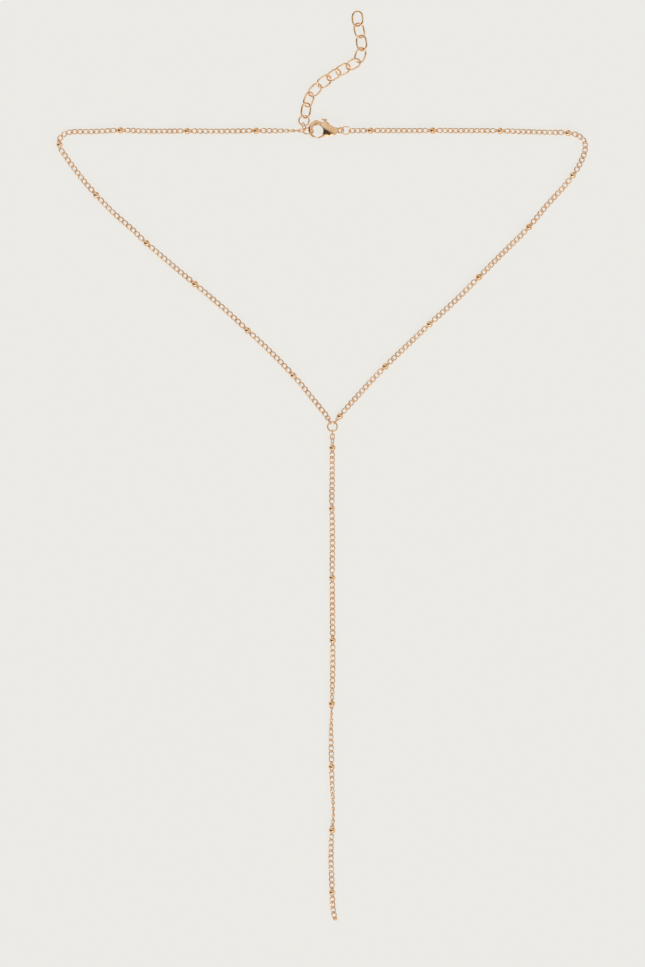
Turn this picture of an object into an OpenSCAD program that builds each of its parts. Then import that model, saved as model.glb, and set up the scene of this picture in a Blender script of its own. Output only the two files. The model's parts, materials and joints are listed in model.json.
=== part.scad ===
// Drop necklace lying flat: a fine curb chain with small round beads, a lobster clasp with an
// extender at the back, and a straight drop hanging from a ring at the front.
// Millimetres, +Z up, resting on z = 0, origin under the middle of the whole necklace.

/* [Chain] */
// Diameter of the wire of the chain links
link_wire = 0.36; // [0.30:0.01:0.36]
// Half length of a chain link, measured to the middle of its wire
link_half_length = 1.2; // [1.18:0.01:1.2]
// Half width of a chain link, measured to the middle of its wire
link_half_width = 0.76; // [0.76:0.01:0.8]
// How far each end of a chain link is twisted out of flat, in degrees
link_twist = 45; // [42:1:46]

/* [Beads] */
// Diameter of a bead, across the chain
bead_width = 2.26; // [2.24:0.02:2.3]
// Length of a bead, along the chain
bead_length = 1.7; // [1.6:0.01:1.7]

/* [Rings] */
// Radius of the ring that joins the two sides and the drop
junction_radius = 1.58; // [1.56:0.01:1.62]
// Diameter of the wire of the junction ring
junction_wire = 0.5; // [0.4:0.02:0.5]
// Diameter of the wire of the extender's links
extender_wire = 0.54; // [0.46:0.02:0.54]

/* [Clasp] */
// Thickness of the clasp's casing in its middle
casing_thickness = 3.0; // [2.8:0.05:3.0]
// Thickness of the clasp's lever
lever_thickness = 0.68; // [0.5:0.02:0.7]
// How far the lever is drawn open, in degrees
lever_open = 0; // [0:1:20]

/* [Hidden] */

metal = [0.86, 0.62, 0.45];
// The routes are drawn about the photo's middle; this brings the necklace's own middle to the origin.
to_middle = [0.53, -0.56, 0];
round_sides = 64;
wire_sides = 48;

// Routes of the three stretches of chain as seen from above: x, y of points picked along each.
left_points = [
    [-7.9, 112.0], [-11.8, 112.0], [-21.8, 112.05], [-33.5, 111.9], [-45.1, 111.95], [-57.5, 111.9],
    [-67.3, 112.2], [-74.1, 111.9], [-79.5, 111.75], [-82.4, 111.8], [-85.2, 111.45], [-87.0, 110.3],
    [-88.05, 108.5], [-87.9, 106.6], [-86.6, 104.8], [-85.1, 102.5], [-80.0, 95.8], [-75.3, 90.4],
    [-70.0, 84.9], [-63.7, 79.4], [-58.3, 74.2], [-48.9, 66.2], [-42.3, 60.7], [-33.2, 53.0],
    [-24.5, 45.0], [-15.9, 36.9], [-8.5, 29.0], [-4.0, 23.5], [-0.8, 19.6], [1.4, 16.9]];
right_points = [
    [8.95, 112.0], [14.5, 112.1], [24.5, 112.1], [36.5, 112.1], [48.5, 112.1], [59.2, 112.0],
    [69.2, 111.7], [76.5, 111.5], [81.2, 111.4], [84.0, 110.9], [86.0, 109.9], [87.3, 108.3],
    [87.5, 106.3], [86.9, 103.7], [85.9, 101.5], [84.0, 98.2], [79.9, 92.9], [74.9, 87.5],
    [68.2, 79.5], [60.2, 71.5], [52.2, 63.5], [44.2, 55.5], [35.4, 47.5], [27.0, 39.5],
    [21.5, 34.2], [16.3, 28.9], [11.4, 23.5], [7.5, 19.2], [4.7, 15.8]];
drop_points = [
    [3.2, 8.0], [3.1, 3.0], [3.1, -4.0], [3.0, -12.5], [3.2, -24.5], [3.1, -36.5], [3.2, -48.5],
    [3.3, -60.5], [3.2, -72.5], [2.9, -80.5], [2.7, -88.5], [2.9, -98.5], [3.1, -106.5],
    [3.5, -114.5], [3.2, -119.5], [2.8, -124.5], [2.7, -130.5], [3.0, -138.5], [3.3, -146.5],
    [3.9, -150.1]];

// Where the beads sit: distances along each route.
left_beads = [14.3, 37.3, 59.5, 82.8, 103.8, 127.0, 148.1, 171.5, 192.9];
right_beads = [6.9, 27.6, 50.1, 72.7, 91.6, 114.2, 137.8, 160.5, 180.9];
drop_beads = [1.54, 21.8, 44.8, 65.7, 86.8, 107.8, 129.0, 149.7];

// How far the chain is rolled about its own length: distance along the route, angle.
left_rolls = [[0, 90], [10, 0], [212, 0]];
right_rolls = [[0, -10], [8, 10], [30, 10], [60, 0], [192, 0], [204, -25]];
drop_rolls = [[0, 0], [75, 0], [104, -180], [108, -180], [137, -360], [165, -360]];

// Where an end of a chain is lifted to meet a thicker piece: distance along the route, height.
left_lifts = [[0, 1.6]];
right_lifts = [[0, 1.4]];

// Stand-in tubes between beads: rings of points, and where they crowd (1 at the start, -1 at the end).
left_tubes = [[5, 0], [4, 0], [4, 0], [5, -1], [6, 1], [4, 0], [4, 0], [4, 0], [4, 0], [4, 0]];
right_tubes = [[2, 0], [4, 0], [4, 0], [4, 0], [7, 1], [4, 0], [4, 0], [4, 0], [4, 0], [4, 0]];
tube_crowding = 0.8;
tube_sides = 8;
tube_half_width = link_half_width + link_wire / 2;
tube_half_height = 0.47;
tube_from_bead = 2.2;
tube_from_start = 0.8;
tube_from_end = 0.85;
tube_heading_reach = 0.5;

// Chain: distance between joints, and from a bead's middle to the joints of its loops.
link_pitch = 1.78;
bead_reach = 1.54;
loop_radius = 0.52;
loop_offset = 1.22;
loop_root = 0.2;
steps_per_span = 8;
floor_gap = 0.04;
bead_lift_far = 8;
bead_lift_run = 6.5;
end_lift_far = 8.3;
end_lift_run = 8;
height_step = 10;
link_segments = 12;
link_sides = 5;
upper_segments = 4;

// The small oval links and rings at the ends: sizes measured to the middle of the wire.
small_length = 2.05;
small_width = 1.24;
left_end_radius = 0.84;
left_end_roll = 31;
drop_end_radius = 0.62;
drop_end_step = [0.35, -0.6, 0.3];
drop_end_roll = -45;
junction = [3.2, 13.5, 0.81];
junction_reach = 1.29;
left_ring_angle = 120;
right_ring_angle = 57;
left_ring_joint = 2.7;
left_ring_height = 0.88;
left_ring_roll = 106;
right_ring_roll = -100;
drop_ring_roll = 93;
drop_joint_1 = [3.2, 10.8, 0.87];
drop_joint_2 = [3.2, 9.39, 0.99];
drop_top_rolls = [-5, 52];
clasp_ring_at = [-4.95, 111.93, 1.61];
clasp_ring_radius = 1.75;
clasp_ring_wire = 0.5;
clasp_ring_tilt = -50;
left_clasp_link_at = [-7.16, 112.0, 1.62];
left_clasp_link_roll = 45;
eye_ring_at = [7.65, 112.1, 1.45];
eye_ring_radius = 1.55;
eye_ring_wire = 0.4;
eye_ring_tilt = 38;

// Extender: joints between its links, then the roll of each link.
extender_start = [-6.08, 112.79, 0.64];
extender_joints = [
    [-6.6, 114.1, 0.88], [-5.95, 116.75, 1.2], [-5.3, 120.8, 1.75], [-4.1, 124.0, 1.4],
    [-1.2, 127.2, 1.25], [2.1, 129.6, 1.25], [5.1, 131.6, 1.5], [8.4, 133.2, 1.3],
    [11.8, 135.2, 1.25], [13.2, 139.2, 1.25], [12.6, 143.4, 1.25], [11.7, 147.4, 1.25],
    [11.4, 151.3, 1.0]];
extender_rolls = [10, -38, 42, -33, 33, -36, 38, -33, 33, -33, 33, -26];
extender_lift = 0.06;
extender_ring_lift = 0.02;
extender_length = 4.94;
extender_width = 3.74;
extender_ring_radius = 1.7;
extender_ring_wire = 0.46;
extender_end_length = 2.56;
extender_end_width = 1.3;
extender_end_wire = 0.38;
extender_end_roll = -45;

// Clasp, about the middle of its opening: x towards its eye, y towards its lever's tab.
clasp_at = [-1.83, 111.9, 1.5];
opening_radius = 1.93;
opening_room = 0.02;
opening_bevel_radius = 2.2;
opening_bevel_height = 0.35;
head_at = [0.05, 0.55];
head_radius = 3.1;
head_bevel_radius = 2.7;
head_bevel_height = 0.3;
hook_half = 0.56;
hook_room = 0.01;
hook_tip_x = -0.25;
hook_end_y = 0.8;
casing_top_at = [-0.33, -8.25];
casing_top_radius = 11.87;
casing_bottom_at = [3.53, 2.58];
casing_bottom_radius = 4.49;
casing_end_at = [3.0, 0.35];
casing_end_radius = 3.9;
casing_flank_at = [6.69, 4.82];
casing_flank_radius = 3.69;
casing_lens_radius = 5.0;
casing_lens_at = [3.6, 0.45];
casing_start_x = 0.3;
casing_cut = [4.0, -3.2];
far = 8;
wedge_steps = 3;
casing_blank = casing_thickness + 1;
eye_at = [7.73, 0.2, 0];
eye_radius = 0.95;
eye_wire = 0.6;
eye_tilt = -25;
neck_from_x = 5.6;
neck_to_x = 6.85;
neck_radius = 0.42;
pivot_at = [3.5, 0];
pin_radius = 0.35;
pin_seat = 0.2;
bore_radius = 0.40;
hub_radius = 0.95;
hub_room = 0.2;
slot_thickness = lever_thickness + 0.2;
slot_bottom = [176, 268];
slot_top = [40, 134];
gate_inner_radius = 1.95;
gate_outer_radius = 2.5;
gate_angles = [274, 330];
gate_tip_angles = [274, 298];
gate_tip_thickness = 1.1;
gate_cut_angles = [90, 200];
arm_outline = [[1.60, -1.12], [2.6, -0.3], [3.95, -0.85], [1.27, -2.17]];
trigger_outline = [[2.85, 0.6], [2.0, 3.7], [2.95, 3.7], [4.1, 0.6]];
tab_outline = [[1.37, 3.6], [1.5, 4.13], [3.1, 4.0], [3.37, 3.6]];
tab_thickness = 1.1;

// Plain functions
function smooth_step(x) = let (c = min(max(x, 0), 1)) c * c * (3 - 2 * c);
function around(n, k) = 360 * k / n;
function spline_point(p, i, t) =
    let (a = p[max(i - 1, 0)], b = p[i], c = p[i + 1], d = p[min(i + 2, len(p) - 1)])
    0.5 * (2 * b + (c - a) * t + (2 * a - 5 * b + 4 * c - d) * t * t
           + (3 * b - a - 3 * c + d) * t * t * t);
function refined(p) = [for (i = [0:len(p) - 2]) for (k = [0:steps_per_span - 1])
                           spline_point(p, i, k / steps_per_span),
                       p[len(p) - 1]];
function travelled(p) = [for (i = 0, s = 0; i < len(p);
                              s = s + (i + 1 < len(p) ? norm(p[i + 1] - p[i]) : 0), i = i + 1) s];

// A strand is [x by distance, y by distance, length, beads, rolls, lifts].
function strand(points, beads, rolls, lifts, ends_in_bead = false) =
    let (f = refined(points), s = travelled(f), n = len(f) - 1)
    [[for (i = [0:n]) [s[i], f[i][0]]], [for (i = [0:n]) [s[i], f[i][1]]], s[n],
     ends_in_bead ? concat(beads, [s[n] - bead_reach]) : beads, rolls, lifts];
function length_of(s) = s[2];
function beads_of(s) = s[3];
function roll_at(s, d) = lookup(d, s[4]);

// Half the height of a chain link that is rolled by an angle
function half_height(roll) = link_wire / 2 + max([for (t = [0:height_step:350])
    abs(link_half_width * sin(t) * sin(link_twist * cos(t) + roll))]);
function height_at(s, d) =
    let (low = half_height(roll_at(s, d)) + floor_gap)
    low + max(concat([0],
        [for (c = beads_of(s))
             (bead_width / 2 - low) * smooth_step((bead_lift_far - abs(d - c)) / bead_lift_run)],
        [for (e = s[5]) (e[1] - low) * smooth_step((end_lift_far - abs(d - e[0])) / end_lift_run)]));
function point_at(s, d) = [lookup(d, s[0]), lookup(d, s[1]), height_at(s, d)];
function heading(v) = atan2(v[1], v[0]);
function climb(v) = atan2(v[2], norm([v[0], v[1]]));
function out_from(c, r, angle, z) = [c[0] + r * cos(angle), c[1] + r * sin(angle), z];

// Joints of the links between two beads, or a bead and an end
function stops(s) = concat([0], [for (c = beads_of(s)) for (e = [-bead_reach, bead_reach]) c + e],
                           [length_of(s)]);
function link_count(a, b) = max(round((b - a) / link_pitch), 1);

left_strand = strand(left_points, left_beads, left_rolls, left_lifts);
right_strand = strand(right_points, right_beads, right_rolls, right_lifts, true);
drop_strand = strand(drop_points, drop_beads, drop_rolls, []);

// Puts children midway between two points, their x along the line, rolled about it.
module between(p, q, roll) {
    v = q - p;
    translate((p + q) / 2) rotate([0, 0, heading(v)]) rotate([0, -climb(v), 0]) rotate([roll, 0, 0])
        children();
}

// One curb link: a closed wire whose two ends are twisted opposite ways.
function link_line(t) = let (turn = link_twist * cos(t))
    [link_half_length * cos(t), link_half_width * sin(t) * cos(turn), link_half_width * sin(t) * sin(turn)];
function link_ring(t) =
    let (along = link_line(t + 1) - link_line(t - 1),
         turn = link_twist * cos(t),
         side = cross([0, -sin(turn), cos(turn)], along) / norm(cross([0, -sin(turn), cos(turn)], along)),
         up = cross(along, side) / norm(along))
    [for (k = [0:link_sides - 1])
         let (a = around(link_sides, k))
         link_line(t) + link_wire / 2 * (cos(a) * side + sin(a) * up)];

module chain_link() {
    n = link_segments;
    m = link_sides;
    polyhedron(
        points = [for (i = [0:n - 1]) for (p = link_ring(around(n, i))) p],
        faces = [for (i = [0:n - 1]) for (k = [0:m - 1])
                     let (a = i * m + k, b = i * m + (k + 1) % m,
                          c = (i + 1) % n * m + k, d = (i + 1) % n * m + (k + 1) % m)
                     for (f = [[a, b, d], [a, d, c]]) f]);
}

// The links of some of a strand's stretches, each stretch lying between two of its stops
module chain_links(s, first, last) {
    marks = stops(s);
    for (j = [first:last]) {
        a = marks[2 * j];
        b = marks[2 * j + 1];
        if (b - a > link_pitch / 2) {
            n = link_count(a, b);
            p = (b - a) / n;
            for (i = [0:n - 1])
                between(point_at(s, a + i * p), point_at(s, a + (i + 1) * p), roll_at(s, a + (i + 0.5) * p))
                    chain_link();
        }
    }
}

// A tube that stands in for a stretch of links: the flat eight-sided outline of the chain, swept.
function tube_distance(a, b, u, crowd) = a + (b - a) * (u + crowd * tube_crowding * (u * u - u));
function turned(v, roll, pitch, yaw) =
    let (y = v[0] * cos(roll) - v[1] * sin(roll), z = v[0] * sin(roll) + v[1] * cos(roll))
    [-z * sin(pitch) * cos(yaw) - y * sin(yaw), -z * sin(pitch) * sin(yaw) + y * cos(yaw), z * cos(pitch)];
function tube_ring(s, d) =
    let (v = point_at(s, d + tube_heading_reach) - point_at(s, d - tube_heading_reach))
    [for (k = [0:tube_sides - 1])
         let (t = around(tube_sides, k + 0.5))
         point_at(s, d) + turned([tube_half_width * cos(t), tube_half_height * sin(t)],
                                 roll_at(s, d), climb(v), heading(v))];

module tube(s, a, b, rings, crowd) {
    m = tube_sides;
    n = rings - 1;
    polyhedron(
        points = [for (j = [0:n]) for (p = tube_ring(s, tube_distance(a, b, j / n, crowd))) p],
        faces = concat(
            [[for (k = [m - 1:-1:0]) k]],
            [[for (k = [0:m - 1]) n * m + k]],
            [for (j = [0:n - 1]) for (k = [0:m - 1])
                 let (p = j * m + k, q = j * m + (k + 1) % m)
                 for (f = [[p, q, q + m], [p, q + m, p + m]]) f]));
}

module tubes(s, table, end_gap) {
    c = beads_of(s);
    starts = concat([tube_from_start], [for (x = c) x + tube_from_bead]);
    ends = concat([for (x = c) x - tube_from_bead], [length_of(s) - end_gap]);
    for (j = [0:len(table) - 1])
        tube(s, starts[j], ends[j], table[j][0], table[j][1]);
}

// Rings, ovals and beads
module ring(radius, wire) {
    rotate_extrude($fn = round_sides) translate([radius, 0]) circle(d = wire, $fn = wire_sides);
}

module oval(length, width, wire) {
    reach = (length - width) / 2;
    for (side = [0, 180]) rotate([0, 0, side]) {
        translate([reach, 0, 0]) rotate([0, 0, -90])
            rotate_extrude(angle = 180, $fn = round_sides)
                translate([width / 2, 0]) circle(d = wire, $fn = wire_sides);
        translate([-reach, width / 2, 0]) rotate([0, 90, 0])
            cylinder(h = 2 * reach, d = wire, $fn = wire_sides);
    }
}

// A loop of chain wire, its two legs soldered into the end of a bead
module bead_loop() {
    foot = bead_length / 2 - loop_root;
    translate([loop_offset, 0, 0]) rotate([0, 0, -90])
        rotate_extrude(angle = 180, $fn = round_sides)
            translate([loop_radius, 0]) circle(d = link_wire, $fn = wire_sides);
    for (leg = [-loop_radius, loop_radius])
        translate([foot, leg, 0]) rotate([0, 90, 0])
            cylinder(h = loop_offset - foot, d = link_wire, $fn = wire_sides);
}

// A bead is a ball with its two ends cut flat, and a loop of chain wire at each end.
module bead_solid() {
    intersection() {
        rotate([0, 90, 0]) sphere(d = bead_width, $fn = round_sides);
        cube([bead_length, 2 * bead_width, 2 * bead_width], center = true);
    }
    for (side = [0, 180]) rotate([link_twist, 0, side]) bead_loop();
}

module bead(s, i) {
    c = beads_of(s)[i - 1];
    translate(to_middle) color(metal)
        between(point_at(s, c - bead_reach), point_at(s, c + bead_reach), roll_at(s, c)) bead_solid();
}

module small_oval() { oval(small_length, small_width, link_wire); }

// Pieces
module neck_chain_left() { translate(to_middle) color(metal) tubes(left_strand, left_tubes, tube_from_end); }
module neck_chain_right() {
    translate(to_middle) color(metal) tubes(right_strand, right_tubes, bead_reach + tube_from_bead);
}
module drop_chain_upper() { translate(to_middle) color(metal) chain_links(drop_strand, 1, upper_segments); }
module drop_chain_lower() {
    translate(to_middle) color(metal) chain_links(drop_strand, upper_segments + 1, len(drop_beads));
}

module drop_end_link() {
    p = point_at(drop_strand, length_of(drop_strand));
    translate(to_middle) color(metal)
        between(p, p + drop_end_step, drop_end_roll) ring(drop_end_radius, link_wire);
}

module junction_ring() {
    translate(to_middle) color(metal) translate(junction) ring(junction_radius, junction_wire);
}

// Joint between the left ring link and the left end ring
left_joint = out_from(junction, left_ring_joint, left_ring_angle, left_ring_height);

module ring_link_left() {
    translate(to_middle) color(metal)
        between(out_from(junction, junction_reach, left_ring_angle, junction[2]), left_joint, left_ring_roll)
            small_oval();
}

module ring_link_right() {
    translate(to_middle) color(metal)
        between(out_from(junction, junction_reach, right_ring_angle, junction[2]),
                point_at(right_strand, length_of(right_strand)), right_ring_roll) small_oval();
}

module ring_link_drop() {
    translate(to_middle) color(metal)
        between(out_from(junction, junction_reach, -90, junction[2]), drop_joint_1, drop_ring_roll)
            small_oval();
}

module left_end_ring() {
    translate(to_middle) color(metal)
        between(left_joint, point_at(left_strand, length_of(left_strand)), left_end_roll)
            ring(left_end_radius, link_wire);
}

module drop_top_link_1() {
    translate(to_middle) color(metal) between(drop_joint_1, drop_joint_2, drop_top_rolls[0]) small_oval();
}

module drop_top_link_2() {
    translate(to_middle) color(metal)
        between(drop_joint_2, point_at(drop_strand, 0), drop_top_rolls[1]) small_oval();
}

module clasp_ring() {
    translate(to_middle) color(metal)
        translate(clasp_ring_at) rotate([clasp_ring_tilt, 0, 0]) ring(clasp_ring_radius, clasp_ring_wire);
}

module left_clasp_link() {
    translate(to_middle) color(metal)
        translate(left_clasp_link_at) rotate([left_clasp_link_roll, 0, 0]) small_oval();
}

module eye_ring() {
    translate(to_middle) color(metal)
        translate(eye_ring_at) rotate([eye_ring_tilt, 0, 0]) ring(eye_ring_radius, eye_ring_wire);
}

module extender_end_link() {
    translate(to_middle) color(metal) between(extender_start, extender_joints[0], extender_end_roll)
        oval(extender_end_length, extender_end_width, extender_end_wire);
}

module extender_place(i, lift = extender_lift) {
    translate(to_middle + [0, 0, lift]) color(metal)
        between(extender_joints[i], extender_joints[i + 1], extender_rolls[i]) children();
}

module extender_link() { oval(extender_length, extender_width, extender_wire); }
module extender_ring() {
    extender_place(0, extender_ring_lift) ring(extender_ring_radius, extender_ring_wire);
}
module extender_link_01() { extender_place(1) extender_link(); }
module extender_link_02() { extender_place(2) extender_link(); }
module extender_link_03() { extender_place(3) extender_link(); }
module extender_link_04() { extender_place(4) extender_link(); }
module extender_link_05() { extender_place(5) extender_link(); }
module extender_link_06() { extender_place(6) extender_link(); }
module extender_link_07() { extender_place(7) extender_link(); }
module extender_link_08() { extender_place(8) extender_link(); }
module extender_link_09() { extender_place(9) extender_link(); }
module extender_link_10() { extender_place(10) extender_link(); }
module extender_link_11() { extender_place(11) extender_link(); }

// A disc with a bevelled rim, turned about z
module bevelled_disc(rim_radius, rim_half, face_radius, face_half) {
    rotate_extrude($fn = round_sides)
        polygon([[0, -face_half], [face_radius, -face_half], [rim_radius, -rim_half],
                 [rim_radius, rim_half], [face_radius, face_half], [0, face_half]]);
}

// A flat wedge seen from above: everything between two directions from a point
function wedge(c, angles) = [c, for (e = [0:wedge_steps])
    let (angle = angles[0] + (angles[1] - angles[0]) * e / wedge_steps)
    c + far * [cos(angle), sin(angle)]];

module slab(thickness) { translate([0, 0, -thickness / 2]) linear_extrude(height = thickness) children(); }

// The hook: the left and top of the head, cut off at its tip and where the casing takes over.
module clasp_hook() {
    difference() {
        translate([head_at[0], head_at[1], 0])
            bevelled_disc(head_radius, head_bevel_height, head_bevel_radius, hook_half);
        bevelled_disc(opening_radius, opening_bevel_height, opening_bevel_radius, hook_half + hook_room);
        slab(2 * far) polygon([[hook_tip_x, hook_end_y], [far, hook_end_y], [far, -far], [hook_tip_x, -far]]);
    }
}

// The casing: the stretch shared by three wide discs seen from above and two big balls seen from the
// side, hollowed along its flank, cut off behind the hook and open where the gate closes.
module disc(c, r, h) { translate([c[0], c[1], -h / 2]) cylinder(h = h, r = r, $fn = 2 * round_sides); }

module clasp_casing() {
    drop = casing_lens_radius - casing_thickness / 2;
    difference() {
        intersection() {
            disc(casing_top_at, casing_top_radius, casing_blank);
            disc(casing_bottom_at, casing_bottom_radius, casing_blank);
            disc(casing_end_at, casing_end_radius, casing_blank);
            translate([casing_lens_at[0], casing_lens_at[1], -drop])
                sphere(r = casing_lens_radius, $fn = 2 * round_sides);
            translate([casing_lens_at[0], casing_lens_at[1], drop])
                sphere(r = casing_lens_radius, $fn = 2 * round_sides);
        }
        disc([0, 0], opening_radius + opening_room, 2 * casing_thickness);
        disc(casing_flank_at, casing_flank_radius, 2 * casing_thickness);
        slab(2 * casing_thickness)
            polygon([[casing_start_x, far], [casing_start_x, 0], casing_cut, [casing_cut[0], -far],
                     [-far, -far], [-far, far]]);
    }
}

// The room the lever turns in: at its gate, in the casing only, and at its hub and tab
module gate_slot() { slab(slot_thickness) polygon(wedge(pivot_at, slot_bottom)); }
module tab_slot() {
    slab(slot_thickness) {
        translate(pivot_at) circle(r = hub_radius + hub_room, $fn = round_sides);
        polygon(wedge(pivot_at, slot_top));
    }
}

module clasp_body() {
    translate(to_middle) color(metal) translate(clasp_at) {
        difference() {
            union() {
                clasp_hook();
                difference() {
                    clasp_casing();
                    gate_slot();
                }
            }
            tab_slot();
        }
        translate([pivot_at[0], pivot_at[1], -slot_thickness / 2 - pin_seat])
            cylinder(h = slot_thickness + 2 * pin_seat, r = pin_radius, $fn = round_sides);
        translate(eye_at) rotate([eye_tilt, 0, 0]) ring(eye_radius, eye_wire);
        translate([neck_from_x, eye_at[1], 0]) rotate([0, 90, 0])
            cylinder(h = neck_to_x - neck_from_x, r = neck_radius, $fn = round_sides);
    }
}

// A band between two directions from the middle of the opening
module gate_band(angles) {
    cuts = concat(angles[1] - 360, gate_cut_angles, angles[0]);
    difference() {
        circle(r = gate_outer_radius, $fn = round_sides);
        circle(r = gate_inner_radius, $fn = round_sides);
        for (i = [1:len(cuts) - 1]) polygon(wedge([0, 0], [cuts[i - 1], cuts[i]]));
    }
}

// The lever, drawn closed: a gate across the opening, a hub on the pin and a tab to press
module clasp_lever() {
    translate(to_middle) color(metal) translate(clasp_at)
        translate([pivot_at[0], pivot_at[1], 0]) rotate([0, 0, -lever_open])
            translate([-pivot_at[0], -pivot_at[1], 0]) difference() {
                union() {
                    slab(lever_thickness) {
                        gate_band(gate_angles);
                        polygon(arm_outline);
                        translate(pivot_at) circle(r = hub_radius, $fn = round_sides);
                        polygon(trigger_outline);
                    }
                    slab(gate_tip_thickness) gate_band(gate_tip_angles);
                    slab(tab_thickness) polygon(tab_outline);
                }
                translate([pivot_at[0], pivot_at[1], -far / 2])
                    cylinder(h = far, r = bore_radius, $fn = round_sides);
            }
}

module bead_left_1() { bead(left_strand, 1); }
module bead_left_2() { bead(left_strand, 2); }
module bead_left_3() { bead(left_strand, 3); }
module bead_left_4() { bead(left_strand, 4); }
module bead_left_5() { bead(left_strand, 5); }
module bead_left_6() { bead(left_strand, 6); }
module bead_left_7() { bead(left_strand, 7); }
module bead_left_8() { bead(left_strand, 8); }
module bead_left_9() { bead(left_strand, 9); }
module bead_right_01() { bead(right_strand, 1); }
module bead_right_02() { bead(right_strand, 2); }
module bead_right_03() { bead(right_strand, 3); }
module bead_right_04() { bead(right_strand, 4); }
module bead_right_05() { bead(right_strand, 5); }
module bead_right_06() { bead(right_strand, 6); }
module bead_right_07() { bead(right_strand, 7); }
module bead_right_08() { bead(right_strand, 8); }
module bead_right_09() { bead(right_strand, 9); }
module bead_right_10() { bead(right_strand, 10); }
module bead_drop_1() { bead(drop_strand, 1); }
module bead_drop_2() { bead(drop_strand, 2); }
module bead_drop_3() { bead(drop_strand, 3); }
module bead_drop_4() { bead(drop_strand, 4); }
module bead_drop_5() { bead(drop_strand, 5); }
module bead_drop_6() { bead(drop_strand, 6); }
module bead_drop_7() { bead(drop_strand, 7); }
module bead_drop_8() { bead(drop_strand, 8); }

neck_chain_left();
neck_chain_right();
drop_chain_upper();
drop_chain_lower();
drop_end_link();
junction_ring();
ring_link_left();
ring_link_right();
ring_link_drop();
left_end_ring();
drop_top_link_1();
drop_top_link_2();
clasp_body();
clasp_lever();
clasp_ring();
left_clasp_link();
eye_ring();
extender_end_link();
extender_ring();
extender_link_01();
extender_link_02();
extender_link_03();
extender_link_04();
extender_link_05();
extender_link_06();
extender_link_07();
extender_link_08();
extender_link_09();
extender_link_10();
extender_link_11();
bead_left_1();
bead_left_2();
bead_left_3();
bead_left_4();
bead_left_5();
bead_left_6();
bead_left_7();
bead_left_8();
bead_left_9();
bead_right_01();
bead_right_02();
bead_right_03();
bead_right_04();
bead_right_05();
bead_right_06();
bead_right_07();
bead_right_08();
bead_right_09();
bead_right_10();
bead_drop_1();
bead_drop_2();
bead_drop_3();
bead_drop_4();
bead_drop_5();
bead_drop_6();
bead_drop_7();
bead_drop_8();
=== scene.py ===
"""Looks of the drop necklace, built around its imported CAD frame."""

import json
import logging
import math
from abc import ABC, abstractmethod
from dataclasses import dataclass, field
from enum import Enum
from typing import Any, Iterable, Sequence

import bpy
from mathutils import Matrix, Vector

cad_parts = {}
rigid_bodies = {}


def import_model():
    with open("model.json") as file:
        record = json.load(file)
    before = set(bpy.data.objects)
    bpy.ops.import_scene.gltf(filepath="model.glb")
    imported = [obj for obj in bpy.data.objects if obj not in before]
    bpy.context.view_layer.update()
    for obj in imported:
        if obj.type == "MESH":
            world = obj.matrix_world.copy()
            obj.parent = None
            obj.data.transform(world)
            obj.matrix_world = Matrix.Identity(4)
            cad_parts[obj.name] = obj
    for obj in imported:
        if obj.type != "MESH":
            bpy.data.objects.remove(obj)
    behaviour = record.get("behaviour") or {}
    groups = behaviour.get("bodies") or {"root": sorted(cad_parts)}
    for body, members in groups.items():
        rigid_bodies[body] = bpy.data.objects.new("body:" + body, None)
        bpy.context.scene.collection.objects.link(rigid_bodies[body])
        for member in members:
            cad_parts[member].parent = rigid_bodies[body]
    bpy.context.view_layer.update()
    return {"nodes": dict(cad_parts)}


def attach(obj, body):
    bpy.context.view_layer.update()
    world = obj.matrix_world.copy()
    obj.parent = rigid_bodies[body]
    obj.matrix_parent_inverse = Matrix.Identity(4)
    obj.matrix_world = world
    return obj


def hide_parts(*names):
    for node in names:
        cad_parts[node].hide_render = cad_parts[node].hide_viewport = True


MM = 0.001
# From the origin of the chain's routes to the frame's origin, in millimetres
TO_FRAME = Vector((0.53, -0.56, 0.0))
LOG = logging.getLogger("necklace")

Point = tuple[float, float]
Row = tuple[float, float]
Colour = tuple[float, float, float]
Triple = tuple[float, float, float]


class Body(Enum):
    """The CAD bodies that pieces ride on."""

    NECKLACE = "necklace"
    LEVER = "lever"


# Mesh helpers


def deselect_all() -> None:
    """Leaves no object selected or active."""
    for obj in bpy.context.view_layer.objects:
        obj.select_set(False)
    bpy.context.view_layer.objects.active = None


def select_only(obj: bpy.types.Object) -> None:
    """Makes one object the only selected and active one.

    Args:
        obj: The object to select.
    """
    deselect_all()
    obj.select_set(True)
    bpy.context.view_layer.objects.active = obj


def pick_vertices(obj: bpy.types.Object, chosen: Iterable[int]) -> None:
    """Selects some vertices of a mesh, and leaves it in edit mode.

    Args:
        obj: The mesh object, which is the active one.
        chosen: Indices of its vertices.
    """
    bpy.ops.object.mode_set(mode="OBJECT")
    wanted = set(chosen)
    mesh = obj.data
    for edge in mesh.edges:
        edge.select = False
    for face in mesh.polygons:
        face.select = False
    for vertex in mesh.vertices:
        vertex.select = vertex.index in wanted
    bpy.ops.object.mode_set(mode="EDIT")
    bpy.context.tool_settings.mesh_select_mode = (True, False, False)


def apply_modifier(obj: bpy.types.Object, kind: str, **settings: Any) -> None:
    """Adds a modifier and applies it.

    Args:
        obj: The object, which is the active one.
        kind: The modifier's type.
        settings: What is set on it.
    """
    modifier = obj.modifiers.new(kind.lower(), kind)
    for key, value in settings.items():
        setattr(modifier, key, value)
    bpy.ops.object.modifier_apply(modifier=modifier.name)


def joined(parts: Sequence[bpy.types.Object], name: str) -> bpy.types.Object:
    """Joins mesh objects into one.

    Args:
        parts: The objects, whose meshes are their own.
        name: The name of what they become.

    Returns:
        The joined object.
    """
    deselect_all()
    for part in parts:
        part.select_set(True)
    bpy.context.view_layer.objects.active = parts[0]
    bpy.ops.object.join()
    whole = bpy.context.view_layer.objects.active
    whole.name = name
    whole.data.name = name
    return whole


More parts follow.
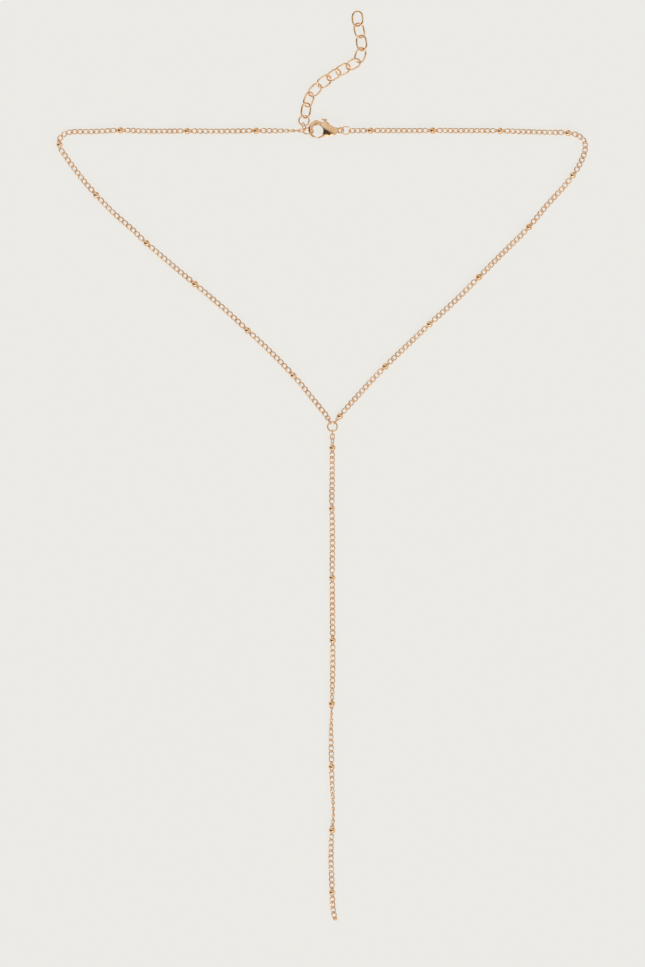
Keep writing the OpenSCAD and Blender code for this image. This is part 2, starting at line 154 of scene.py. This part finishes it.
def copy_at(obj: bpy.types.Object, place: Matrix) -> bpy.types.Object:
    """Copies an object with a mesh of its own, its place worked into that mesh.

    Args:
        obj: The object to copy.
        place: Where its mesh goes.

    Returns:
        The copy.
    """
    twin = obj.copy()
    twin.data = obj.data.copy()
    twin.data.transform(place)
    bpy.context.scene.collection.objects.link(twin)
    return twin


def hand_over(piece: bpy.types.Object, body: Body, node: str, gold: bpy.types.Material) -> None:
    """Dresses a finished piece, puts it on its body and hides the CAD node that it stands for.

    Args:
        piece: The piece.
        body: The body that it rides on.
        node: The CAD node that it stands for.
        gold: Its finish.
    """
    piece.data.materials.clear()
    piece.data.materials.append(gold)
    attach(piece, body.value)
    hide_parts(node)


# Shader helpers


class Socket:
    """An output socket whose arithmetic adds Math nodes."""

    def __init__(self, tree: "NodeTree", socket: bpy.types.NodeSocket) -> None:
        """Wraps a socket of a tree."""
        self.tree = tree
        self.socket = socket

    def _math(self, operation: str, first: "Socket | float", second: "Socket | float") -> "Socket":
        """Adds one Math node.

        Args:
            operation: The node's operation.
            first: Its first value or socket.
            second: Its second value or socket.

        Returns:
            The node's result.
        """
        return self.tree.add("ShaderNodeMath", {"operation": operation}, {0: first, 1: second})

    def __add__(self, other: "Socket | float") -> "Socket":
        """Adds."""
        return self._math("ADD", self, other)

    def __radd__(self, other: "Socket | float") -> "Socket":
        """Adds, reflected."""
        return self._math("ADD", other, self)

    def __sub__(self, other: "Socket | float") -> "Socket":
        """Subtracts."""
        return self._math("SUBTRACT", self, other)

    def __rsub__(self, other: "Socket | float") -> "Socket":
        """Subtracts, reflected."""
        return self._math("SUBTRACT", other, self)

    def __mul__(self, other: "Socket | float") -> "Socket":
        """Multiplies."""
        return self._math("MULTIPLY", self, other)

    def __rmul__(self, other: "Socket | float") -> "Socket":
        """Multiplies, reflected."""
        return self._math("MULTIPLY", other, self)


class NodeTree:
    """Builds the nodes of a material or world."""

    # Where a Mix node that blends colours has them among its sockets
    MIX_FACTOR = 0
    MIX_FIRST = 6
    MIX_SECOND = 7
    MIX_RESULT = 2

    def __init__(self, owner: bpy.types.Material | bpy.types.World) -> None:
        """Starts an empty tree on a material or world."""
        owner.use_nodes = True
        self.tree = owner.node_tree
        self.tree.nodes.clear()

    def add(self, kind: str, settings: dict[str, Any] | None = None,
            inputs: dict[int | str, Any] | None = None, output: int | str = 0) -> Socket:
        """Adds a node.

        Args:
            kind: The node's type.
            settings: Attributes that are set first; a list of stops makes a ramp.
            inputs: Values or sockets for its inputs, by name or number.
            output: Which output to return.

        Returns:
            The chosen output, or the first input of a node that has no output.
        """
        node = self.tree.nodes.new(kind)
        for key, value in (settings or {}).items():
            if key == "stops":
                self._ramp(node, value)
            else:
                setattr(node, key, value)
        for key, value in (inputs or {}).items():
            if isinstance(value, Socket):
                self.tree.links.new(value.socket, node.inputs[key])
            else:
                node.inputs[key].default_value = value
        if not node.outputs:
            return Socket(self, node.inputs[0])
        return Socket(self, node.outputs[output])

    @staticmethod
    def _ramp(node: bpy.types.Node, stops: Sequence[tuple[float, Colour]]) -> None:
        """Sets a colour ramp's stops.

        Args:
            node: The ramp.
            stops: Its positions and colours, by rising position.
        """
        elements = node.color_ramp.elements
        while len(elements) > 1:
            elements.remove(elements[-1])
        elements[0].position = stops[0][0]
        elements[0].color = (*stops[0][1], 1.0)
        for position, colour in stops[1:]:
            elements.new(position).color = (*colour, 1.0)

    def noise(self, vector: Socket, scale: float, detail: float, roughness: float = 0.5) -> Socket:
        """Adds a noise texture.

        Args:
            vector: Where it is read.
            scale: Its scale, per metre.
            detail: Its octaves.
            roughness: How strong the finer octaves are.

        Returns:
            Its value, 0 to 1.
        """
        return self.add("ShaderNodeTexNoise", {},
                        {"Vector": vector, "Scale": scale, "Detail": detail, "Roughness": roughness},
                        "Fac")

    def blend(self, factor: Socket, first: Colour, second: Colour) -> Socket:
        """Mixes two colours.

        Args:
            factor: How much of the second.
            first: The first colour.
            second: The second colour.

        Returns:
            The mixed colour.
        """
        return self.add("ShaderNodeMix", {"data_type": "RGBA"},
                        {self.MIX_FACTOR: factor, self.MIX_FIRST: (*first, 1.0),
                         self.MIX_SECOND: (*second, 1.0)}, self.MIX_RESULT)


# The finishes


@dataclass(frozen=True)
class PlatedGold:
    """Polished rose-gold plate: paler and smoother where it is rubbed, deeper in colour elsewhere.

    Scales are per metre. Clouds and grain together say how rubbed a place is, and grain and scratches
    together make the bump.
    """

    name: str = "rose_gold_plate"
    bright: Colour = (0.99, 0.76, 0.53)
    deep: Colour = (0.90, 0.53, 0.25)
    cloud_scale: float = 420.0
    cloud_detail: float = 3.0
    cloud_share: float = 0.65
    grain_scale: float = 3800.0
    grain_detail: float = 4.0
    grain_roughness: float = 0.65
    scratch_scale: float = 9000.0
    scratch_detail: float = 2.0
    scratch_stretch: Triple = (1.0, 1.0, 0.25)
    scratch_share: float = 0.4
    rubbed_from: float = 0.36
    rubbed_to: float = 0.64
    rubbed_polish: float = 1.4
    smoothest: float = 0.07
    roughest: float = 0.20
    bump_height: float = 0.00002
    bump_strength: float = 0.12

    def material(self) -> bpy.types.Material:
        """Makes the material.

        Returns:
            The finished material.
        """
        made = bpy.data.materials.new(self.name)
        tree = NodeTree(made)
        place = tree.add("ShaderNodeTexCoord", output="Object")
        clouds = tree.noise(place, self.cloud_scale, self.cloud_detail)
        grain = tree.noise(place, self.grain_scale, self.grain_detail, self.grain_roughness)
        stretched = tree.add("ShaderNodeMapping", {}, {"Vector": place, "Scale": self.scratch_stretch})
        scratches = tree.noise(stretched, self.scratch_scale, self.scratch_detail)
        mottled = clouds * self.cloud_share + grain * (1.0 - self.cloud_share)
        rubbed = tree.add("ShaderNodeMapRange", {"clamp": True},
                          {"Value": mottled, "From Min": self.rubbed_from, "From Max": self.rubbed_to})
        dullness = 1.0 - rubbed * grain * self.rubbed_polish
        relief = grain * (1.0 - self.scratch_share) + scratches * self.scratch_share
        bump = tree.add("ShaderNodeBump", {},
                        {"Strength": self.bump_strength, "Distance": self.bump_height, "Height": relief})
        shader = tree.add("ShaderNodeBsdfPrincipled", {},
                          {"Base Color": tree.blend(rubbed, self.deep, self.bright), "Metallic": 1.0,
                           "Roughness": self.smoothest + (self.roughest - self.smoothest) * dullness,
                           "Normal": bump})
        tree.add("ShaderNodeOutputMaterial", {}, {"Surface": shader})
        return made


@dataclass(frozen=True)
class PaleFloor:
    """The plain pale surface under the necklace. It glows as well, so its shadows are faint."""

    name: str = "pale_floor"
    colour: Colour = (0.914, 0.906, 0.871)
    glow: float = 0.785
    roughness: float = 0.9

    def material(self) -> bpy.types.Material:
        """Makes the material.

        Returns:
            The finished material.
        """
        made = bpy.data.materials.new(self.name)
        tree = NodeTree(made)
        lit = tuple(channel * (1.0 - self.glow) for channel in self.colour)
        shader = tree.add("ShaderNodeBsdfPrincipled", {},
                          {"Base Color": (*lit, 1.0), "Roughness": self.roughness,
                           "Specular IOR Level": 0.0, "Emission Color": (*self.colour, 1.0),
                           "Emission Strength": self.glow})
        tree.add("ShaderNodeOutputMaterial", {}, {"Surface": shader})
        return made


# The chain


@dataclass
class LinkShape:
    """One curb link: a closed wire whose two ends are twisted opposite ways. Millimetres and degrees."""

    half_length: float = 1.2
    half_width: float = 0.745
    wire: float = 0.43
    twist: float = 45.0
    around: int = 14
    across: int = 6
    height_step: int = 10

    def model(self) -> bpy.types.Object:
        """Models the link as a ring of wire, drawn out and then twisted.

        Returns:
            The link, at the origin, its length along X, in millimetres.
        """
        deselect_all()
        bpy.ops.mesh.primitive_torus_add(
            major_segments=self.around, minor_segments=self.across,
            major_radius=self.half_width, minor_radius=self.wire / 2)
        link = bpy.context.active_object
        link.name = "curb_link"
        for ring in range(self.around):
            angle = 2 * math.pi * ring / self.around
            pick_vertices(link, range(ring * self.across, (ring + 1) * self.across))
            bpy.ops.transform.translate(
                value=((self.half_length - self.half_width) * math.cos(angle), 0.0, 0.0))
            bpy.ops.transform.rotate(
                value=-math.radians(self.twist) * math.cos(angle), orient_axis="X",
                center_override=(0.0, 0.0, 0.0))
        bpy.ops.object.mode_set(mode="OBJECT")
        bpy.ops.object.shade_smooth()
        return link

    def half_height(self, roll: float) -> float:
        """Half the height of a link that is rolled about its length.

        Args:
            roll: The roll.

        Returns:
            Half its height.
        """
        highest = 0.0
        for step in range(0, 360, self.height_step):
            turn = math.radians(step)
            lean = math.radians(self.twist * math.cos(turn) + roll)
            highest = max(highest, abs(self.half_width * math.sin(turn) * math.sin(lean)))
        return self.wire / 2 + highest


def smooth_step(value: float) -> float:
    """Eases from 0 to 1."""
    clipped = min(max(value, 0.0), 1.0)
    return clipped * clipped * (3 - 2 * clipped)


def look_up(table: Sequence[Row], key: float) -> float:
    """Reads a table of key and value, straight between its rows.

    Args:
        table: The rows, by rising key.
        key: Where to read.

    Returns:
        The value there.
    """
    if key <= table[0][0]:
        return table[0][1]
    for (before, low), (after, high) in zip(table, table[1:]):
        if key <= after:
            return low + (high - low) * (key - before) / (after - before)
    return table[-1][1]


@dataclass
class Strand:
    """A side of the necklace or its drop: the route, the beads on it, and how the chain rolls and rises.

    Millimetres and degrees. Beads, rolls and lifts are given by their distance along the route. The
    chain eases up to half a bead's width at each bead, and to the height that each lift gives.
    """

    route: Sequence[Point]
    beads: Sequence[float]
    rolls: Sequence[Row]
    lifts: Sequence[Row] = ()
    ends_in_bead: bool = False
    link: LinkShape = field(default_factory=LinkShape)
    pitch: float = 1.78
    bead_reach: float = 1.54
    bead_width: float = 2.26
    bead_slope: float = 6.5
    bead_slope_end: float = 8.0
    lift_slope: float = 8.0
    lift_slope_end: float = 8.3
    floor_gap: float = 0.04
    steps_per_span: int = 8

    def __post_init__(self) -> None:
        """Draws the smooth line through the route and measures along it."""
        line = [self._spline(i, k / self.steps_per_span)
                for i in range(len(self.route) - 1) for k in range(self.steps_per_span)]
        line.append(Vector(self.route[-1]))
        travelled = [0.0]
        for here, there in zip(line, line[1:]):
            travelled.append(travelled[-1] + (there - here).length)
        self.line_x = [(d, p.x) for d, p in zip(travelled, line)]
        self.line_y = [(d, p.y) for d, p in zip(travelled, line)]
        self.length = travelled[-1]
        self.marks = list(self.beads)
        if self.ends_in_bead:
            self.marks.append(self.length - self.bead_reach)

    def _spline(self, index: int, part: float) -> Vector:
        """A point between two of the route's points.

        Args:
            index: The first of the two.
            part: How far on, 0 to 1.

        Returns:
            The point.
        """
        last = len(self.route) - 1
        a, b, c, d = (Vector(self.route[min(max(i, 0), last)]) for i in range(index - 1, index + 3))
        return 0.5 * (2 * b + (c - a) * part + (2 * a - 5 * b + 4 * c - d) * part ** 2
                      + (3 * b - a - 3 * c + d) * part ** 3)

    def height(self, distance: float) -> float:
        """Height of the chain's middle.

        Args:
            distance: How far along.

        Returns:
            The height above the floor.
        """
        low = self.link.half_height(look_up(self.rolls, distance)) + self.floor_gap
        rise = 0.0
        for at in self.marks:
            near = smooth_step((self.bead_slope_end - abs(distance - at)) / self.bead_slope)
            rise = max(rise, (self.bead_width / 2 - low) * near)
        for at, top in self.lifts:
            near = smooth_step((self.lift_slope_end - abs(distance - at)) / self.lift_slope)
            rise = max(rise, (top - low) * near)
        return low + rise

    def point(self, distance: float) -> Vector:
        """A point along the chain's middle."""
        return Vector((look_up(self.line_x, distance), look_up(self.line_y, distance),
                       self.height(distance)))

    def between(self, start: float, end: float) -> Matrix:
        """Where something lies that reaches from one joint to another.

        Args:
            start: Distance of its first joint.
            end: Distance of its second joint.

        Returns:
            Its place in the necklace, in metres, for a shape in millimetres along X.
        """
        first, second = self.point(start), self.point(end)
        along = second - first
        heading = math.atan2(along.y, along.x)
        climb = math.atan2(along.z, math.hypot(along.x, along.y))
        roll = math.radians(look_up(self.rolls, (start + end) / 2))
        turn = (Matrix.Rotation(heading, 4, "Z") @ Matrix.Rotation(-climb, 4, "Y")
                @ Matrix.Rotation(roll, 4, "X"))
        return Matrix.Scale(MM, 4) @ Matrix.Translation((first + second) / 2 + TO_FRAME) @ turn

    def stretches(self) -> list[Row]:
        """The stretches of plain links: to the first bead, between beads, and to the end.

        Returns:
            The start and end of each.
        """
        stops = [0.0]
        for mark in self.marks:
            stops += [mark - self.bead_reach, mark + self.bead_reach]
        stops.append(self.length)
        return list(zip(stops[::2], stops[1::2]))

    def link_places(self, first: int, last: int) -> list[Matrix]:
        """Where the links of some stretches lie.

        Args:
            first: Number of the first stretch.
            last: Number of the last stretch.

        Returns:
            One place for each link.
        """
        places = []
        for start, end in self.stretches()[first:last + 1]:
            if end - start <= self.pitch / 2:
                continue
            count = max(round((end - start) / self.pitch), 1)
            step = (end - start) / count
            places += [self.between(start + i * step, start + (i + 1) * step) for i in range(count)]
        return places


LEFT = Strand(
    route=[(-7.9, 112.0), (-11.8, 112.0), (-21.8, 112.05), (-33.5, 111.9), (-45.1, 111.95),
           (-57.5, 111.9), (-67.3, 112.2), (-74.1, 111.9), (-79.5, 111.75), (-82.4, 111.8),
           (-85.2, 111.45), (-87.0, 110.3), (-88.05, 108.5), (-87.9, 106.6), (-86.6, 104.8),
           (-85.1, 102.5), (-80.0, 95.8), (-75.3, 90.4), (-70.0, 84.9), (-63.7, 79.4),
           (-58.3, 74.2), (-48.9, 66.2), (-42.3, 60.7), (-33.2, 53.0), (-24.5, 45.0),
           (-15.9, 36.9), (-8.5, 29.0), (-4.0, 23.5), (-0.8, 19.6), (1.4, 16.9)],
    beads=[14.3, 37.3, 59.5, 82.8, 103.8, 127.0, 148.1, 171.5, 192.9],
    rolls=[(0, 90), (10, 0), (212, 0)],
    lifts=[(0, 1.6)],
)
RIGHT = Strand(
    route=[(8.95, 112.0), (14.5, 112.1), (24.5, 112.1), (36.5, 112.1), (48.5, 112.1),
           (59.2, 112.0), (69.2, 111.7), (76.5, 111.5), (81.2, 111.4), (84.0, 110.9),
           (86.0, 109.9), (87.3, 108.3), (87.5, 106.3), (86.9, 103.7), (85.9, 101.5),
           (84.0, 98.2), (79.9, 92.9), (74.9, 87.5), (68.2, 79.5), (60.2, 71.5),
           (52.2, 63.5), (44.2, 55.5), (35.4, 47.5), (27.0, 39.5), (21.5, 34.2),
           (16.3, 28.9), (11.4, 23.5), (7.5, 19.2), (4.7, 15.8)],
    beads=[6.9, 27.6, 50.1, 72.7, 91.6, 114.2, 137.8, 160.5, 180.9],
    rolls=[(0, -10), (8, 10), (30, 10), (60, 0), (192, 0), (204, -25)],
    lifts=[(0, 1.4)],
    ends_in_bead=True,
)
DROP = Strand(
    route=[(3.2, 8.0), (3.1, 3.0), (3.1, -4.0), (3.0, -12.5), (3.2, -24.5), (3.1, -36.5),
           (3.2, -48.5), (3.3, -60.5), (3.2, -72.5), (2.9, -80.5), (2.7, -88.5), (2.9, -98.5),
           (3.1, -106.5), (3.5, -114.5), (3.2, -119.5), (2.8, -124.5), (2.7, -130.5),
           (3.0, -138.5), (3.3, -146.5), (3.9, -150.1)],
    beads=[1.54, 21.8, 44.8, 65.7, 86.8, 107.8, 129.0, 149.7],
    rolls=[(0, 0), (75, 0), (104, -180), (108, -180), (137, -360), (165, -360)],
)


@dataclass
class CurbChain:
    """A length of curb chain: the links of some stretches of a strand, as one piece.

    The stretches are numbered from 0, and each starts at the bead of its own number.
    """

    name: str
    node: str
    strand: Strand
    first: int
    last: int

    def build(self, link: bpy.types.Object, gold: bpy.types.Material) -> bpy.types.Object:
        """Copies the link to each of its places and joins the copies.

        Args:
            link: The modelled link.
            gold: The finish.

        Returns:
            The chain.
        """
        places = self.strand.link_places(self.first, self.last)
        chain = joined([copy_at(link, place) for place in places], self.name)
        hand_over(chain, Body.NECKLACE, self.node, gold)
        return chain


@dataclass
class CurbChains:
    """The curb chain of the whole necklace, in four lengths of one kind of link."""

    link: LinkShape = field(default_factory=LinkShape)
    lengths: Sequence[CurbChain] = (
        CurbChain("neck_chain_left_links", "neck_chain_left", LEFT, 0, len(LEFT.beads)),
        CurbChain("neck_chain_right_links", "neck_chain_right", RIGHT, 0, len(RIGHT.beads)),
        CurbChain("drop_chain_upper_links", "drop_chain_upper", DROP, 1, 4),
        CurbChain("drop_chain_lower_links", "drop_chain_lower", DROP, 5, len(DROP.beads)),
    )

    def build(self, gold: bpy.types.Material) -> dict[str, bpy.types.Object]:
        """Models one link and makes every length of chain from it.

        Args:
            gold: The finish.

        Returns:
            The lengths, by the CAD nodes that they stand for.
        """
        link = self.link.model()
        made = {length.node: length.build(link, gold) for length in self.lengths}
        bpy.data.objects.remove(link)
        return made


# The clasp and the extender


@dataclass
class PolishedCopy(ABC):
    """A copy of a CAD solid that is reshaped a little. Millimetres."""

    node: str
    body: Body = Body.NECKLACE
    merge: float = 0.001

    def build(self, solid: bpy.types.Object, gold: bpy.types.Material) -> bpy.types.Object:
        """Copies the CAD solid, joins its loose triangles and reshapes it.

        Args:
            solid: The CAD node.
            gold: The finish.

        Returns:
            The finished copy.
        """
        piece = solid.copy()
        piece.data = solid.data.copy()
        piece.parent = None
        piece.name = f"{self.node}_polished"
        piece.data.name = piece.name
        # The copy drops what the frame noted on the CAD node
        for key in list(piece.keys()):
            if key.startswith("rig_"):
                del piece[key]
        bpy.context.scene.collection.objects.link(piece)
        select_only(piece)
        bpy.ops.object.mode_set(mode="EDIT")
        bpy.ops.mesh.select_all(action="SELECT")
        bpy.ops.mesh.remove_doubles(threshold=self.merge * MM)
        bpy.ops.object.mode_set(mode="OBJECT")
        self.reshape(piece)
        bpy.ops.object.shade_smooth()
        hand_over(piece, self.body, self.node, gold)
        return piece

    @abstractmethod
    def reshape(self, piece: bpy.types.Object) -> None:
        """Changes the copy's mesh.

        Args:
            piece: The copy, which is the active object.
        """

    @staticmethod
    def swell(piece: bpy.types.Object, amount: float, group: str = "") -> None:
        """Moves the surface outwards.

        Args:
            piece: The copy, which is the active object.
            amount: How far.
            group: The vertex group that moves, or nothing for all of it.
        """
        apply_modifier(piece, "DISPLACE", mid_level=0.0, strength=amount * MM, vertex_group=group)


@dataclass
class WornPiece(PolishedCopy):
    """A solid of the clasp whose edges are worn round, as on a tumbled casting."""

    fineness: float = 0.045
    passes: int = 24
    pass_factor: float = 0.5

    def reshape(self, piece: bpy.types.Object) -> None:
        """Gives the copy an even fine mesh and relaxes it, so every edge turns round.

        Args:
            piece: The copy, which is the active object.
        """
        apply_modifier(piece, "REMESH", mode="VOXEL", voxel_size=self.fineness * MM)
        self.relax(piece, self.passes)

    def relax(self, piece: bpy.types.Object, passes: int, group: str = "") -> None:
        """Evens out the surface.

        Args:
            piece: The copy, which is the active object.
            passes: How many times.
            group: The vertex group that is evened out, or nothing for all of it.
        """
        apply_modifier(piece, "SMOOTH", factor=self.pass_factor, iterations=passes, vertex_group=group)


@dataclass
class Casing(WornPiece):
    """The clasp's casing. Its hook, from hook_from leftwards, is rounder than the rest of it."""

    fineness: float = 0.055
    passes: int = 14
    hook_from: float = -0.6
    hook_to: float = -1.6
    hook_passes: int = 70
    hook_swell: float = 0.04

    def reshape(self, piece: bpy.types.Object) -> None:
        """Wears the whole casing round, then its hook further, and gives that its thickness back.

        Args:
            piece: The copy, which is the active object.
        """
        super().reshape(piece)
        hook = piece.vertex_groups.new(name="hook")
        for vertex in piece.data.vertices:
            share = (vertex.co.x / MM - self.hook_from) / (self.hook_to - self.hook_from)
            hook.add([vertex.index], smooth_step(share), "REPLACE")
        self.relax(piece, self.hook_passes, hook.name)
        self.swell(piece, self.hook_swell, hook.name)
        piece.vertex_groups.clear()


@dataclass
class ExtenderLink(PolishedCopy):
    """A link of the extender, its wire a little heavier than the CAD's."""

    extra: float = 0.025

    def reshape(self, piece: bpy.types.Object) -> None:
        """Swells the wire all round.

        Args:
            piece: The copy, which is the active object.
        """
        self.swell(piece, self.extra)


@dataclass
class Findings:
    """The clasp and the links of the extender."""

    casing: Casing = field(default_factory=lambda: Casing("clasp_body"))
    lever: WornPiece = field(default_factory=lambda: WornPiece("clasp_lever", Body.LEVER))
    extender_links: int = 11

    def build(self, nodes: dict[str, bpy.types.Object],
              gold: bpy.types.Material) -> dict[str, bpy.types.Object]:
        """Makes the pieces.

        Args:
            nodes: Every CAD node.
            gold: The finish.

        Returns:
            The pieces, by the CAD nodes that they stand for.
        """
        links = [ExtenderLink(f"extender_link_{number + 1:02d}")
                 for number in range(self.extender_links)]
        return {copy.node: copy.build(nodes[copy.node], gold)
                for copy in (self.casing, self.lever, *links)}


# The studio


@dataclass(frozen=True)
class SoftSun:
    """A broad soft light from far away. Degrees."""

    name: str
    tilt: float
    turn: float
    strength: float
    spread: float = 34.0

    def hang(self) -> None:
        """Adds the light to the scene."""
        lamp = bpy.data.lights.new(self.name, "SUN")
        lamp.energy = self.strength
        lamp.angle = math.radians(self.spread)
        holder = bpy.data.objects.new(self.name, lamp)
        holder.rotation_euler = (math.radians(self.tilt), 0.0, math.radians(self.turn))
        bpy.context.scene.collection.objects.link(holder)


@dataclass(frozen=True)
class LightTent:
    """A bright tent all round, with one dark band in front and to the left and a dim far side.

    The bands run along the axis: each has a place from -1 to 1 and a brightness from 0 to 1.
    """

    strength: float = 0.78
    axis: Triple = (0.5, 0.866, 0.0)
    bright: Colour = (1.0, 0.985, 0.96)
    dark: Colour = (0.09, 0.06, 0.045)
    bands: Sequence[Row] = ((-1.0, 0.30), (-0.92, 1.0), (-0.80, 0.9), (-0.66, 0.0), (-0.16, 0.0),
                              (0.02, 0.86), (0.30, 1.0), (0.62, 0.95), (0.86, 0.35), (1.0, 0.08))

    def put_up(self) -> None:
        """Makes the tent the scene's world."""
        world = bpy.data.worlds.new("studio")
        bpy.context.scene.world = world
        tree = NodeTree(world)
        direction = tree.add("ShaderNodeTexCoord", output="Generated")
        along = tree.add("ShaderNodeVectorMath", {"operation": "DOT_PRODUCT"},
                         {0: direction, 1: self.axis}, "Value")
        stops = [((place + 1) / 2, (light, light, light)) for place, light in self.bands]
        bands = tree.add("ShaderNodeValToRGB", {"stops": stops}, {"Fac": along * 0.5 + 0.5})
        shade = tree.blend(bands, self.dark, self.bright)
        glow = tree.add("ShaderNodeBackground", {}, {"Color": shade, "Strength": self.strength})
        tree.add("ShaderNodeOutputWorld", {}, {"Surface": glow})


@dataclass
class Studio:
    """A pale floor, soft lights and a camera that looks straight down. Metres.

    The floor lies a hair under the necklace. The height of the view is measured at the floor.
    """

    centre: Point = (0.000396, -0.006026)
    view_height: float = 0.322333
    distance: float = 1.5
    far_end: float = 20.0
    sensor: float = 36.0
    floor_size: float = 6.0
    floor_level: float = -0.00003
    floor: PaleFloor = PaleFloor()
    tent: LightTent = LightTent()
    suns: Sequence[SoftSun] = (
        SoftSun("key_light", tilt=58.0, turn=30.0, strength=0.5),
        SoftSun("fill_light", tilt=54.0, turn=-10.0, strength=0.4),
    )

    def build(self) -> None:
        """Makes the floor, the lights, the tent and the camera."""
        self._lay_floor()
        for sun in self.suns:
            sun.hang()
        self.tent.put_up()
        self._set_up_camera()
        settings = bpy.context.scene.view_settings
        settings.view_transform = "Standard"
        settings.look = "None"

    def _lay_floor(self) -> None:
        """Lays the floor."""
        deselect_all()
        bpy.ops.mesh.primitive_plane_add(size=self.floor_size, location=(0, 0, self.floor_level))
        floor = bpy.context.active_object
        floor.name = "floor"
        floor.data.materials.append(self.floor.material())

    def _set_up_camera(self) -> None:
        """Sets up the camera over the necklace."""
        data = bpy.data.cameras.new("camera")
        data.type = "PERSP"
        data.sensor_width = self.sensor
        data.lens = self.sensor * self.distance / self.view_height
        data.clip_end = self.far_end
        camera = bpy.data.objects.new("camera", data)
        camera.location = (*self.centre, self.distance)
        bpy.context.scene.collection.objects.link(camera)
        bpy.context.scene.camera = camera


def dress_solid(solid: bpy.types.Object, gold: bpy.types.Material) -> None:
    """Gives a CAD solid that stays its finish.

    Args:
        solid: The CAD node.
        gold: The finish.
    """
    solid.data.materials.clear()
    solid.data.materials.append(gold)


def main() -> None:
    """Builds the looks of the necklace in order."""
    logging.basicConfig(level=logging.INFO, format="%(name)s: %(message)s")
    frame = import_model()
    gold = PlatedGold().material()
    made = CurbChains().build(gold)
    made |= Findings().build(frame["nodes"], gold)
    for node, piece in made.items():
        LOG.info("%s for %s: %d faces", piece.name, node, len(piece.data.polygons))
    for node, solid in sorted(frame["nodes"].items()):
        if node not in made:
            dress_solid(solid, gold)
            LOG.info("%s as it is", node)
    Studio().build()


if __name__ == "__main__":
    main()
